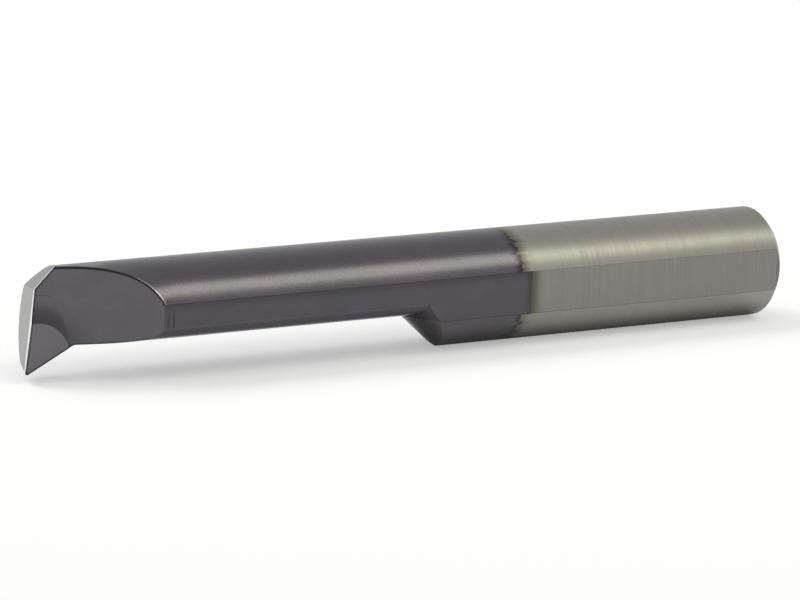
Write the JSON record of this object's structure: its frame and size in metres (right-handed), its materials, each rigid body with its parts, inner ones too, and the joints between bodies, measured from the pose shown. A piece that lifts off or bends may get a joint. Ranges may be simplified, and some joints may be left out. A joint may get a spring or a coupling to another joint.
{
  "type": "boring bar",
  "caption": "Miniature boring bar ground from one carbide rod, with a round flatted shank, a relieved neck and a coated cutting head with a concave rake pocket.",
  "frame": {"origin": "on the shank's axis at the shoulder, where the full round shank begins", "axes": "+X along the axis towards the rear end of the shank, -Y out of the clamping flat and the rake face, -Z towards the cutting point"},
  "size_m": [0.0451, 0.0058, 0.006],
  "materials": {
    "carbide": "ground carbide, with a dark violet-grey hard coating on the front half"
  },
  "bodies": {
    "root": {"boring_bar": "carbide"}
  },
  "joints": []
}
